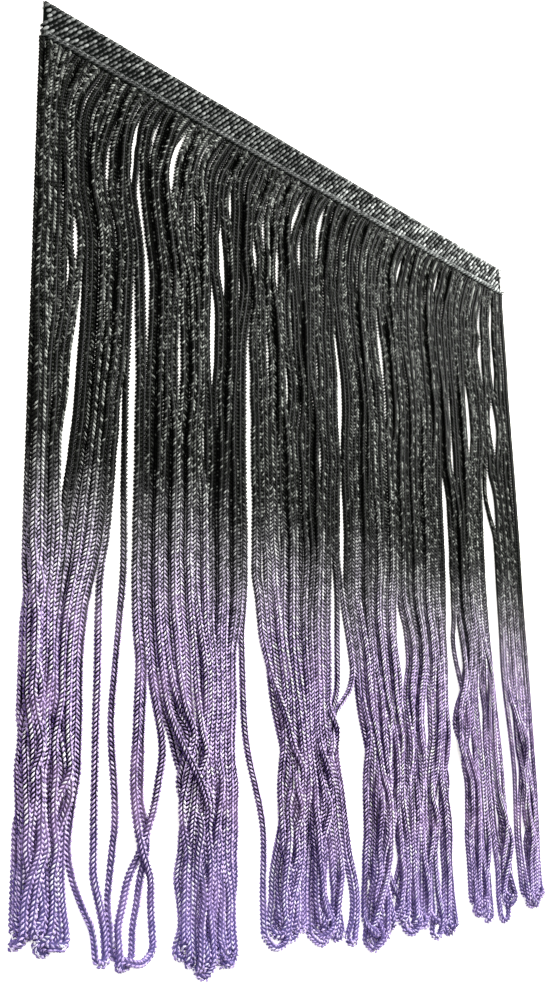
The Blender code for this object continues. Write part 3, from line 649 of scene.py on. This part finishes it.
def chainette_tree():
    """A knitted chain cord along each line: a core in the lowest tone, which paints shade into the gaps, with
    four columns of slanted stitches on it.
    """
    tree, given = new_tree("chainette", {
        **dict.fromkeys(("Cord Radius", "Core Share", "Core Step", "Stitch Pitch", "Stitch Long",
                         "Stitch Wide", "Stitch Slant", "Roll"), "Float"),
        "Seed": "Int", "Finish": "Material"})
    add = partial(add_node, tree)
    ask = given.outputs
    line = add("GeometryNodeMeshToCurve", {"Mesh": ask["Geometry"]})
    core_line = add("GeometryNodeResampleCurve", {"Curve": line, "Length": ask["Core Step"]}, mode="LENGTH")
    core_radius = add(MATHS, {0: ask["Cord Radius"], 1: ask["Core Share"]}, operation="MULTIPLY")
    ring = add("GeometryNodeCurvePrimitiveCircle", {"Resolution": 6, "Radius": core_radius})
    core = add("GeometryNodeCurveToMesh", {"Curve": core_line, "Profile Curve": ring, "Fill Caps": True})
    # The core takes the lowest tone: painted shade in the gaps between the stitches.
    core = add(STORE, {"Geometry": core, "Name": "tone", "Value": 0.0})

    spots = add("GeometryNodeCurveToPoints", {"Curve": line, "Length": ask["Stitch Pitch"]}, mode="LENGTH")
    along = spots.outputs["Tangent"]
    columns = add("GeometryNodeDuplicateElements", {"Geometry": spots, "Amount": 4})
    number = columns.outputs["Duplicate Index"]
    across = add(VECTOR, {0: along, 1: (0.0, 0.0, 1.0)}, operation="CROSS_PRODUCT")
    side = add(VECTOR, {0: across}, operation="NORMALIZE")
    up = add(VECTOR, {0: side, 1: along}, operation="CROSS_PRODUCT")
    strand = add("GeometryNodeInputNamedAttribute", {"Name": "strand"})
    place = tree.nodes.new("GeometryNodeInputPosition")
    twist_at = add(VECTOR, {0: place, 1: (TWIST_WAVES,) * 3, 2: strand}, operation="MULTIPLY_ADD")
    twist = add(NOISE, {"Vector": twist_at, "Scale": 1.0, "Detail": 1.0})
    twist = add(MAP_RANGE, {"Value": twist, "From Min": 0.25, "From Max": 0.75,
                            "To Min": -1.0, "To Max": 1.0})
    roll = add(MATHS, {0: twist, 1: ask["Roll"]}, operation="MULTIPLY")
    quarter = add(MATHS, {0: number, 1: math.pi / 2, 2: math.pi / 4}, operation="MULTIPLY_ADD")
    angle = add(MATHS, {0: quarter, 1: roll}, operation="ADD")
    cosine, sine = (add(MATHS, {0: angle}, operation=wave) for wave in ("COSINE", "SINE"))
    minus_sine = add(MATHS, {0: sine, 1: -1.0}, operation="MULTIPLY")
    ways = []
    for side_by, up_by in ((cosine, sine), (minus_sine, cosine)):
        side_part = add(VECTOR, {"Vector": side, "Scale": side_by}, operation="SCALE")
        up_part = add(VECTOR, {"Vector": up, "Scale": up_by}, operation="SCALE")
        ways.append(add(VECTOR, {0: side_part, 1: up_part}, operation="ADD"))
    outward, around = ways
    odd = add(MATHS, {0: number, 1: 2.0}, operation="MODULO")
    sign = add(MATHS, {0: odd, 1: -2.0, 2: 1.0}, operation="MULTIPLY_ADD")
    lean = add(MATHS, {0: ask["Stitch Slant"]}, operation="TANGENT")
    lean = add(MATHS, {0: lean, 1: sign}, operation="MULTIPLY")
    leaning = add(VECTOR, {"Vector": around, "Scale": lean}, operation="SCALE")
    heads_to = add(VECTOR, {0: along, 1: leaning}, operation="ADD")
    out_by = add(MATHS, {0: ask["Cord Radius"], 1: STITCH_OUT}, operation="MULTIPLY")
    shift_out = add(VECTOR, {"Vector": outward, "Scale": out_by}, operation="SCALE")
    half_pitch, half_long, half_wide = (
        add(MATHS, {0: ask[whole], 1: 0.5}, operation="MULTIPLY")
        for whole in ("Stitch Pitch", "Stitch Long", "Stitch Wide"))
    on_by = add(MATHS, {0: half_pitch, 1: odd}, operation="MULTIPLY")
    shift_on = add(VECTOR, {"Vector": along, "Scale": on_by}, operation="SCALE")
    shift = add(VECTOR, {0: shift_out, 1: shift_on}, operation="ADD")
    turned = add("FunctionNodeAxesToRotation", {"Primary Axis": heads_to, "Secondary Axis": outward},
                 primary_axis="Z", secondary_axis="X")
    chance = add(RANDOM, {"Min": TONE_LEAST, "Max": 1.0, "Seed": ask["Seed"]})
    # Painted shade: a stitch's tone falls as its column turns from up to sideways and down.
    painted_side_shade = add(MAP_RANGE, {"Value": sine, "To Min": SIDE_SHADE_LEAST, "To Max": 1.0})
    tone = add(MATHS, {0: chance, 1: painted_side_shade}, operation="MULTIPLY")
    size = add(RANDOM, {"Min": 1.0 - SIZE_CHANCE, "Max": 1.0 + SIZE_CHANCE, "Seed": ask["Seed"]})
    toned = add(STORE, {"Geometry": columns, "Name": "tone", "Value": tone})
    kept = add(STORE, {"Geometry": toned, "Name": "turned", "Value": turned}, data_type="QUATERNION")
    moved = add(MOVE, {"Geometry": kept, "Offset": shift})
    saved = add("GeometryNodeInputNamedAttribute", {"Name": "turned"}, data_type="QUATERNION")

    grain = add("GeometryNodeMeshUVSphere", {"Segments": 3, "Rings": 2, "Radius": 1.0})
    half_high = add(MATHS, {0: ask["Cord Radius"], 1: STITCH_HIGH}, operation="MULTIPLY")
    grain_size = add(COMBINE, {"X": half_high, "Y": half_wide, "Z": half_long})
    grain = add("GeometryNodeTransform", {"Geometry": grain, "Scale": grain_size})
    stitches = add("GeometryNodeInstanceOnPoints",
                   {"Points": moved, "Instance": grain, "Rotation": saved, "Scale": size})
    both = add("GeometryNodeJoinGeometry", {"Geometry": core})
    tree.links.new(stitches.outputs[0], both.inputs[0])
    end_tree(tree, both, ask["Finish"])
    return tree


def knot_lattice_tree():
    """Slanting ribs of plump knots on both faces of the heading tape, cut square at its ends."""
    tree, given = new_tree("knot_lattice", {
        **dict.fromkeys(("Long", "Wide", "Lean", "Knot Long", "Knot Wide", "Knot High", "Face Low",
                         "Face High"), "Float"),
        "Columns": "Int", "Rows": "Int", "Seed": "Int", "Finish": "Material"})
    add = partial(add_node, tree)
    ask = given.outputs
    spread = add(MATHS, {0: ask["Long"], 1: ask["Lean"]}, operation="ADD")
    grid = add("GeometryNodeMeshGrid", {"Size X": spread, "Size Y": ask["Wide"],
                                        "Vertices X": ask["Columns"], "Vertices Y": ask["Rows"]})
    spots = add("GeometryNodeMeshToPoints", {"Mesh": grid})
    place = tree.nodes.new("GeometryNodeInputPosition")
    parts = add("ShaderNodeSeparateXYZ", {0: place})
    slope = add(MATHS, {0: ask["Lean"], 1: ask["Wide"]}, operation="DIVIDE")
    slide = add(MATHS, {0: parts.outputs["Y"], 1: slope}, operation="MULTIPLY")
    slide_x = add(COMBINE, {"X": slide})
    leaned = add(MOVE, {"Geometry": spots, "Offset": slide_x})
    faces = add("GeometryNodeDuplicateElements", {"Geometry": leaned, "Amount": 2})
    number = faces.outputs["Duplicate Index"]
    height = add(MAP_RANGE, {"Value": number, "From Min": 0.0, "From Max": 1.0,
                             "To Min": ask["Face Low"], "To Max": ask["Face High"]})
    jitter = add(RANDOM, {0: (-KNOT_JITTER * MM,) * 3, 1: (KNOT_JITTER * MM,) * 3,
                          "Seed": ask["Seed"]}, data_type="FLOAT_VECTOR")
    lift = add(COMBINE, {"Z": height})
    lift = add(VECTOR, {0: lift, 1: jitter}, operation="ADD")
    lifted = add(MOVE, {"Geometry": faces, "Offset": lift})
    size_x = add(MATHS, {0: parts.outputs["X"]}, operation="ABSOLUTE")
    half = add(MATHS, {0: ask["Long"], 1: 0.5}, operation="MULTIPLY")
    margin = add(MATHS, {0: ask["Knot Long"], 1: KNOT_MARGIN}, operation="MULTIPLY")
    inside = add(MATHS, {0: half, 1: margin}, operation="SUBTRACT")
    beyond = add(MATHS, {0: size_x, 1: inside}, operation="GREATER_THAN")
    kept = add("GeometryNodeDeleteGeometry", {"Geometry": lifted, "Selection": beyond})
    tone = add(RANDOM, {"Min": 0.0, "Max": 1.0, "Seed": ask["Seed"]})
    toned = add(STORE, {"Geometry": kept, "Name": "tone", "Value": tone})
    angle = add(MATHS, {0: ask["Wide"], 1: ask["Lean"]}, operation="ARCTAN2")
    turn = add(COMBINE, {"Z": angle})
    knot = add("GeometryNodeMeshUVSphere", {"Segments": 8, "Rings": 5, "Radius": 0.5})
    knot_size = add(COMBINE, {"X": ask["Knot Long"], "Y": ask["Knot Wide"], "Z": ask["Knot High"]})
    knot = add("GeometryNodeTransform", {"Geometry": knot, "Scale": knot_size})
    knots = add("GeometryNodeInstanceOnPoints", {"Points": toned, "Instance": knot, "Rotation": turn})
    end_tree(tree, knots, ask["Finish"])
    return tree


def grow(name, mesh, tree, values):
    """Runs a geometry tree on a mesh and returns the result as an object with a plain mesh."""
    guide = bpy.data.objects.new(name + "_guide", mesh)
    bpy.context.scene.collection.objects.link(guide)
    modifier = guide.modifiers.new("grow", "NODES")
    modifier.node_group = tree
    for item in tree.interface.items_tree:
        if item.in_out == "INPUT" and item.name in values:
            modifier[item.identifier] = values[item.name]
    bpy.context.view_layer.update()
    evaluated = guide.evaluated_get(bpy.context.evaluated_depsgraph_get())
    result = bpy.data.meshes.new_from_object(evaluated)
    bpy.data.objects.remove(guide)
    result.name = name
    piece = bpy.data.objects.new(name, result)
    bpy.context.scene.collection.objects.link(piece)
    return piece


def new_finish(name):
    """A new material, its node tree and its shader."""
    finish = bpy.data.materials.new(name)
    finish.use_nodes = True
    return finish, finish.node_tree, finish.node_tree.nodes["Principled BSDF"]


def set_inputs(node, values):
    """Sets inputs of a node by their names."""
    for name, value in values.items():
        node.inputs[name].default_value = value


def add_filament(tree, shader, where, strength):
    """The filaments of the yarn as fine bumps, drawn 0.3 mm apart, because real ones are too fine to show."""
    add = partial(add_node, tree)
    fibre = add(NOISE, {"Vector": where, "Scale": FILAMENT_WAVES, "Detail": 2.0})
    bump = add("ShaderNodeBump", {"Strength": strength, "Distance": 0.0002, "Height": fibre})
    tree.links.new(bump.outputs[0], shader.inputs["Normal"])


def dipped_viscose(sizes):
    """Viscose chainette, dip-dyed black above and violet below. Each stitch's glint is painted into its
    colour at the light end of its ramp, the dark end is painted shade, and the dye line wanders from yarn to
    yarn."""
    finish, tree, shader = new_finish("dipped_viscose_chainette")
    add = partial(add_node, tree)
    strand = add("ShaderNodeAttribute", attribute_name="strand").outputs["Fac"]
    tone = add("ShaderNodeAttribute", attribute_name="tone").outputs["Fac"]
    own = add(MATHS, {0: strand, 1: YARN_TONES, 2: 1.0 - YARN_TONES}, operation="MULTIPLY_ADD")
    tone = add(MATHS, {0: tone, 1: own}, operation="MULTIPLY")
    where = add("ShaderNodeTexCoord").outputs["Object"]
    parts = add("ShaderNodeSeparateXYZ", {0: where})
    drop = add(MATHS, {0: FIRST_EDGE * MM, 1: parts.outputs["Y"]}, operation="SUBTRACT")
    patch = add(NOISE, {"Vector": where, "Scale": PATCH_WAVES, "Detail": 2.0})
    ragged = -PATCH_RAGGED / 2
    for chance, most in ((patch, PATCH_RAGGED), (strand, YARN_RAGGED), (tone, STITCH_RAGGED)):
        ragged = add(MATHS, {0: chance, 1: most, 2: ragged}, operation="MULTIPLY_ADD")
    reach = add(MATHS, {0: drop, 1: ragged}, operation="ADD")
    dyed = add(MAP_RANGE, {"Value": reach, "From Min": sizes.dye_from, "From Max": sizes.dye_to},
               interpolation_type="SMOOTHSTEP")
    ramps = []
    # Tone to colour: the light end of each ramp is a painted glint, and the dark end is painted shade.
    for shades in (BLACK_DYE_AND_PAINTED_LIGHT, VIOLET_DYE_AND_PAINTED_LIGHT):
        ramps.append(add("ShaderNodeValToRGB", {"Fac": tone}))
        points = ramps[-1].color_ramp.elements
        while len(points) < len(shades):
            points.new(0.5)
        for point, (at, shade) in zip(points, shades):
            point.position = at
            point.color = linear(shade)
    black, violet = ramps
    tint = add(NOISE, {"Vector": where, "Scale": TINT_WAVES, "Detail": 3.0})
    pinkish = add(MAP_RANGE, {"Value": tint, "From Min": 0.5, "From Max": 0.8, "To Max": 0.3})
    foot = add(MAP_RANGE, {"Value": drop, "From Min": FOOT_DYE[0], "From Max": FOOT_DYE[1], "To Max": 0.3})
    pinker = add(MIX, {"Factor": pinkish, "A": violet, "B": linear("#c8a4d6")}, data_type="RGBA")
    bluer = add(MIX, {"Factor": foot, "A": pinker, "B": linear("#9a8ee0")}, data_type="RGBA")
    strength = add(MAP_RANGE, {"Value": dyed, "From Min": 0.2, "To Min": 0.15, "To Max": 1.0})
    dipped = add("ShaderNodeHueSaturation", {"Saturation": strength, "Color": bluer})
    colour = add(MIX, {"Factor": dyed, "A": black, "B": dipped}, data_type="RGBA")
    tree.links.new(colour.outputs[2], shader.inputs["Base Color"])
    add_filament(tree, shader, where, 0.35)
    set_inputs(shader, {"Roughness": 0.4, "Specular IOR Level": 0.05, "Sheen Weight": 0.0})
    finish.diffuse_color = linear("#553c92")
    return finish


def black_gimp(name, dark, light, gloss):
    """Black viscose gimp, wound filament over a cotton core. Each knot's greyish silky glint is painted into
    its colour from its tone, and is stronger towards the tape's right end.
    """
    finish, tree, shader = new_finish(name)
    add = partial(add_node, tree)
    where = add("ShaderNodeTexCoord").outputs["Object"]
    tone = add("ShaderNodeAttribute", attribute_name="tone").outputs["Fac"]
    tint = add(NOISE, {"Vector": where, "Scale": GIMP_WAVES, "Detail": 2.0})
    parts = add("ShaderNodeSeparateXYZ", {0: where})
    # Painted sheen: the knots' glints grow lighter towards the right end of the tape.
    painted_sheen = add(MAP_RANGE, {"Value": parts.outputs["X"], "From Max": TRIM_LONG / 2 * MM,
                             "To Min": SHEEN_TO_RIGHT_END[0], "To Max": SHEEN_TO_RIGHT_END[1]})
    # Painted glint: the knots of highest tone mix towards the light colour.
    shade = add(MATHS, {0: tone, 1: GLINT_POWER}, operation="POWER")
    shade = add(MATHS, {0: shade, 1: painted_sheen}, operation="MULTIPLY")
    shade = add(MATHS, {0: shade, 1: tint}, operation="MULTIPLY")
    colour = add(MIX, {"Factor": shade, "A": dark, "B": light}, data_type="RGBA")
    tree.links.new(colour.outputs[2], shader.inputs["Base Color"])
    add_filament(tree, shader, where, 0.4)
    set_inputs(shader, {"Roughness": 0.4, "Specular IOR Level": gloss, "Sheen Weight": 0.0})
    finish.diffuse_color = light
    return finish


def pale_paper():
    """Smooth creamy paper, lit from within a little so that it stays as even as the photograph's ground."""
    finish, tree, shader = new_finish("pale_paper")
    add = partial(add_node, tree)
    where = add("ShaderNodeTexCoord").outputs["Object"]
    cloud = add(NOISE, {"Vector": where, "Scale": PAPER_WAVES, "Detail": 2.0})
    colour = add(MIX, {"Factor": cloud, "A": linear("#fffefb"), "B": linear("#fffdf4")}, data_type="RGBA")
    tree.links.new(colour.outputs[2], shader.inputs["Base Color"])
    set_inputs(shader, {"Roughness": 0.9, "Specular IOR Level": 0.1, "Emission Color": linear("#fffefa"),
                        "Emission Strength": 0.7})
    return finish


class FringeHeadingSizes(bpy.types.PropertyGroup):
    """Sizes of the heading tape."""
    knot_rows: IntProperty(name="Knot rows", description="Rows of knots across the tape", default=7, min=2)
    knot_high: FloatProperty(name="Knot height", description="How thick a knot is", default=1.0 * MM,
                             unit="LENGTH")
    # The light end of the knots' colour, which is their painted glint; the knots themselves are near black.
    colour: FloatVectorProperty(name="Knot glint colour", description="Painted glint colour of the tape's knots",
                                subtype="COLOR", size=4, default=linear("#ced2ce"))


class FringeYarnSizes(bpy.types.PropertyGroup):
    """Sizes of the looped yarns."""
    stitch_pitch: FloatProperty(name="Stitch pitch", description="From one stitch of a column to the next",
                                default=1.15 * MM, unit="LENGTH")
    stitch_long: FloatProperty(name="Stitch length", description="Length of one stitch", default=1.8 * MM,
                               unit="LENGTH")
    stitch_wide: FloatProperty(name="Stitch width", description="Width of one stitch", default=0.66 * MM,
                               unit="LENGTH")
    stitch_slant: FloatProperty(name="Stitch slant", description="Angle of a stitch to the yarn",
                                default=math.radians(38.0), subtype="ANGLE")
    dye_from: FloatProperty(name="Dye starts", description="Drop at which the violet starts", default=0.139,
                            unit="LENGTH")
    dye_to: FloatProperty(name="Dye full", description="Drop at which the violet is full", default=0.194,
                          unit="LENGTH")


class FringeStageSizes(bpy.types.PropertyGroup):
    """Light and floor."""
    key_power: FloatProperty(name="Key light", description="Power of the key light", default=16.0,
                             unit="POWER")
    sky: FloatProperty(name="Sky", description="Strength of the light all round", default=0.28)


def chain_values(sizes, radius, finish, seed):
    """Inputs of the chainette tree for a cord of a given radius."""
    share = radius / (YARN_RADIUS * MM)
    return {"Cord Radius": radius, "Core Share": CORE_SHARE, "Core Step": CORE_STEP * MM,
            "Stitch Pitch": sizes.stitch_pitch, "Stitch Long": sizes.stitch_long,
            "Stitch Wide": sizes.stitch_wide * share, "Stitch Slant": sizes.stitch_slant,
            "Roll": math.radians(ROLL_MOST), "Seed": seed, "Finish": finish}


class FRINGE_OT_heading_tape(bpy.types.Operator):
    """Make the heading tape: its ground cloth, its knots and the cords along its edges"""
    bl_idname = "fringe.heading_tape"
    bl_label = "Heading tape"

    def execute(self, context):
        sizes = context.scene.fringe_heading
        finish = black_gimp("black_viscose_gimp", linear("#121513"), tuple(sizes.colour), 0.2)
        bm = bmesh.new()
        bmesh.ops.create_cube(bm, size=1.0)
        for vert in bm.verts:
            vert.co.x *= (TRIM_LONG - GROUND_SHORTER) * MM
            vert.co.y *= (HEADING_WIDE - GROUND_NARROWER) * MM
            vert.co.z = ((vert.co.z + 0.5) * GROUND_THICK + GROUND_LOW) * MM
        mesh = bpy.data.meshes.new("heading_ground")
        bm.to_mesh(mesh)
        bm.free()
        mesh.materials.append(black_gimp("black_ground_cloth", linear("#0b0e0c"), linear("#101311"), 0.0))
        ground = bpy.data.objects.new("heading_ground", mesh)
        context.scene.collection.objects.link(ground)
        wide = (HEADING_WIDE - EDGE_CHAIN_THICK / 2 - TOP_CORD_THICK / 2 - KNOTS_CLEAR) * MM
        lean = RIB_LEAN * MM * wide / (HEADING_WIDE * MM)
        rows = sizes.knot_rows
        columns = round((TRIM_LONG * MM + lean) / (LEG_PITCH * MM)) + 1
        rib_long = math.hypot(wide, lean)
        knots = grow("heading_knots", bpy.data.meshes.new("knots_seed"), knot_lattice_tree(), {
            "Long": TRIM_LONG * MM, "Wide": wide, "Columns": columns, "Rows": rows, "Lean": lean,
            "Knot Long": KNOT_OVERLAP * rib_long / (rows - 1), "Knot Wide": KNOT_WIDE * MM,
            "Knot High": sizes.knot_high, "Face Low": GROUND_LOW * MM + KNOT_SUNK * MM,
            "Face High": (GROUND_LOW + GROUND_THICK) * MM, "Seed": 3, "Finish": finish})
        shift = (TOP_CORD_THICK / 2 - EDGE_CHAIN_THICK / 2) * -0.5 * MM
        knots.data.transform(Matrix.Translation((0.0, shift, 0.0)))
        chain = chainette_tree()
        # The cords' light colour is their painted glint.
        edge_finish = black_gimp("black_edge_gimp", linear("#0e110f"), linear("#8d928e"), 0.15)
        edges = []
        lower_down = HEADING_WIDE - EDGE_CHAIN_THICK / 2
        for name, thick, down, height in (("upper_cord", TOP_CORD_THICK, TOP_CORD_THICK / 2, TOP_CORD_HEIGHT),
                                          ("lower_chain", EDGE_CHAIN_THICK, lower_down, EDGE_CHAIN_HEIGHT)):
            along = np.linspace(CORD_INSET, TRIM_LONG - CORD_INSET, CORD_POINTS)
            ends = np.array([(x, -down, height) for x in along])
            values = chain_values(context.scene.fringe_yarn, thick / 2 * MM, edge_finish, 5)
            values.update({"Stitch Pitch": LEG_PITCH * MM, "Stitch Long": EDGE_STITCH_LONG * MM,
                           "Roll": EDGE_ROLL})
            edges.append(grow(name, guide_mesh(name + "_line", [to_row(ends)], [0.5]), chain, values))
        for piece in (ground, knots, *edges):
            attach(piece, "root")
            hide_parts("heading_tape")
        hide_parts("loop_fringe")
        return {"FINISHED"}


class FRINGE_OT_looped_yarns(bpy.types.Operator):
    """Make the looped yarns"""
    bl_idname = "fringe.looped_yarns"
    bl_label = "Looped yarns"

    def execute(self, context):
        sizes = context.scene.fringe_yarn
        finish = dipped_viscose(sizes)
        tree = chainette_tree()
        lines = [to_row(smooth_line(knots, CURVE_STEP)) for knots in settle(loop_routes())]
        shades = np.random.default_rng(SEED).uniform(0.0, 1.0, LOOPS)
        ends = CLUMPS[1:] + (LOOPS,)
        for number, (first, last) in enumerate(zip(CLUMPS, ends), 1):
            guide = guide_mesh(f"clump_{number}_lines", lines[first:last], shades[first:last])
            piece = grow(f"looped_yarns_{number}", guide, tree,
                         chain_values(sizes, YARN_DRAWN / 2 * MM, finish, number))
            piece.data.transform(Matrix.Translation((0.0, 0.0, YARN_LIFT * MM))
                                 @ Matrix.Diagonal((1.0, 1.0, YARN_FLAT, 1.0)))
            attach(piece, "root")
            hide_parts("loop_fringe")
        return {"FINISHED"}


class FRINGE_OT_stage(bpy.types.Operator):
    """Make the floor, the lights and the camera"""
    bl_idname = "fringe.stage"
    bl_label = "Stage"

    def execute(self, context):
        sizes = context.scene.fringe_stage
        scene = context.scene
        bpy.ops.mesh.primitive_plane_add(size=FLOOR_SIZE)
        floor = context.object
        floor.name = "floor"
        floor.data.materials.append(pale_paper())
        world = bpy.data.worlds.new("studio")
        world.use_nodes = True
        set_inputs(world.node_tree.nodes["Background"], {"Color": linear("#fffefc"), "Strength": sizes.sky})
        scene.world = world
        for name, place, size, share in LIGHTS:
            light = bpy.data.lights.new(name, "AREA")
            light.size = size
            light.energy = sizes.key_power * share
            lamp = bpy.data.objects.new(name, light)
            lamp.location = place
            aim = Vector(LIGHT_AIM) - Vector(place)
            lamp.rotation_euler = aim.to_track_quat("-Z", "Y").to_euler()
            scene.collection.objects.link(lamp)
        data = bpy.data.cameras.new("camera")
        data.lens = CAMERA_LENS
        data.sensor_width = SENSOR
        data.clip_start = CLIP_START
        camera = bpy.data.objects.new("camera", data)
        camera.location = CAMERA_PLACE
        towards = (Vector(CAMERA_AIM) - Vector(CAMERA_PLACE)).to_track_quat("-Z", "Y")
        camera.rotation_euler = (towards @ Quaternion((0.0, 0.0, 1.0), math.radians(CAMERA_ROLL))).to_euler()
        scene.collection.objects.link(camera)
        scene.camera = camera
        scene.view_settings.view_transform = "Standard"
        return {"FINISHED"}


class FRINGE_PT_panel(bpy.types.Panel):
    """Sizes and steps of the loop fringe trim"""
    bl_idname = "FRINGE_PT_panel"
    bl_label = "Loop fringe trim"
    bl_space_type = "VIEW_3D"
    bl_region_type = "UI"
    bl_category = "Fringe"

    def draw(self, context):
        for sizes, steps in PANEL_ROWS:
            group = getattr(context.scene, sizes)
            for name in group.__annotations__:
                self.layout.prop(group, name)
            for step in steps:
                self.layout.operator(step)


PANEL_ROWS = (
    ("fringe_heading", ("fringe.heading_tape",)),
    ("fringe_yarn", ("fringe.looped_yarns",)),
    ("fringe_stage", ("fringe.stage",)),
)
GROUPS = {"fringe_heading": FringeHeadingSizes, "fringe_yarn": FringeYarnSizes,
          "fringe_stage": FringeStageSizes}
CLASSES = (FringeHeadingSizes, FringeYarnSizes, FringeStageSizes, FRINGE_OT_heading_tape,
           FRINGE_OT_looped_yarns, FRINGE_OT_stage, FRINGE_PT_panel)


def register():
    for kind in CLASSES:
        bpy.utils.register_class(kind)
    for name, group in GROUPS.items():
        setattr(bpy.types.Scene, name, PointerProperty(type=group))


def unregister():
    for name in GROUPS:
        delattr(bpy.types.Scene, name)
    for kind in reversed(CLASSES):
        bpy.utils.unregister_class(kind)


def main():
    register()
    bpy.ops.fringe.stage()
    bpy.ops.fringe.heading_tape()
    bpy.ops.fringe.looped_yarns()


if __name__ == "__main__":
    main()
